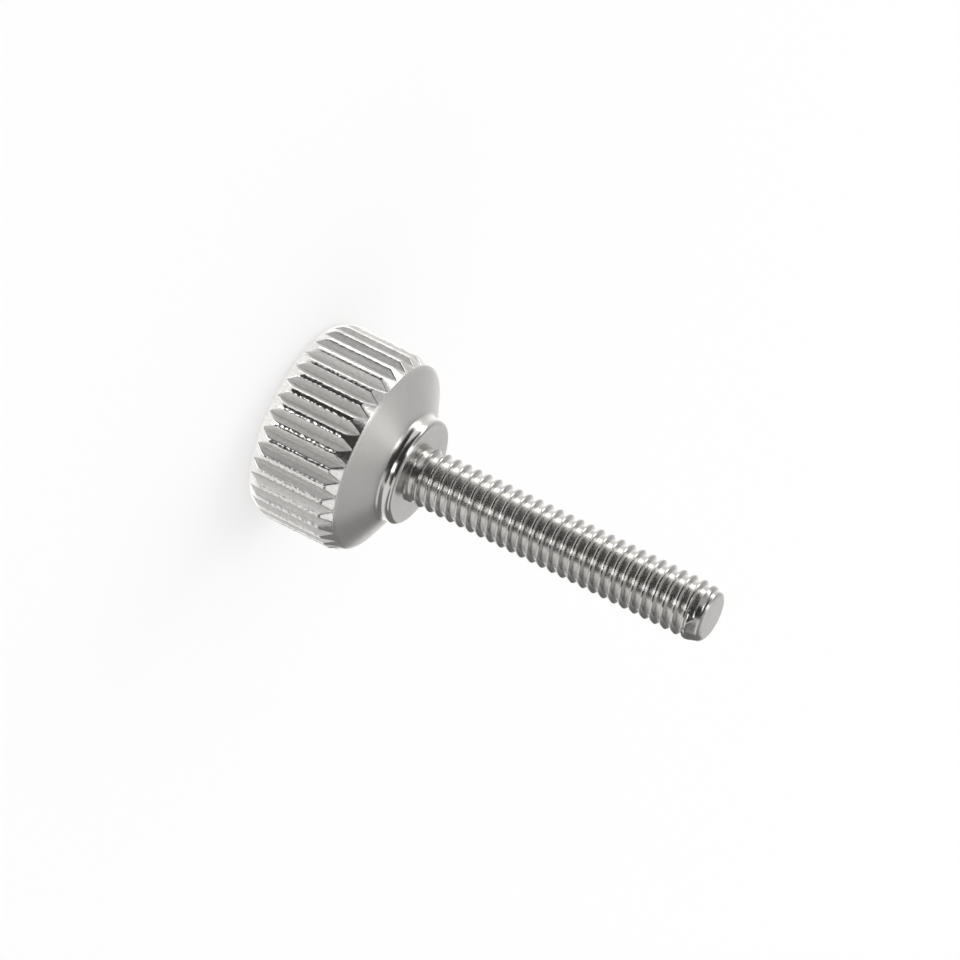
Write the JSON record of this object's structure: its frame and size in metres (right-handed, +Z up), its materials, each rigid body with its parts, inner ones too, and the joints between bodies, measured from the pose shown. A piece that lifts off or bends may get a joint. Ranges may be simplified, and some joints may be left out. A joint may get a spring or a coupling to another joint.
{
  "type": "thumb screw",
  "caption": "Knurled thumb screw turned from one bar: a round grip head, a coned underside with a small collar, and a long threaded shank.",
  "frame": {"origin": "centre of the head's flat top, which the screw stands on", "axes": "+Z up the screw's axis, from the head to the tip; a knurl groove is centred on +X"},
  "size_m": [0.0142, 0.0142, 0.0318],
  "materials": {
    "steel": "bright machined stainless steel, satin on the turned underside, brighter along the knurl and thread"
  },
  "bodies": {
    "root": {"thumb_screw": "steel"}
  },
  "joints": []
}
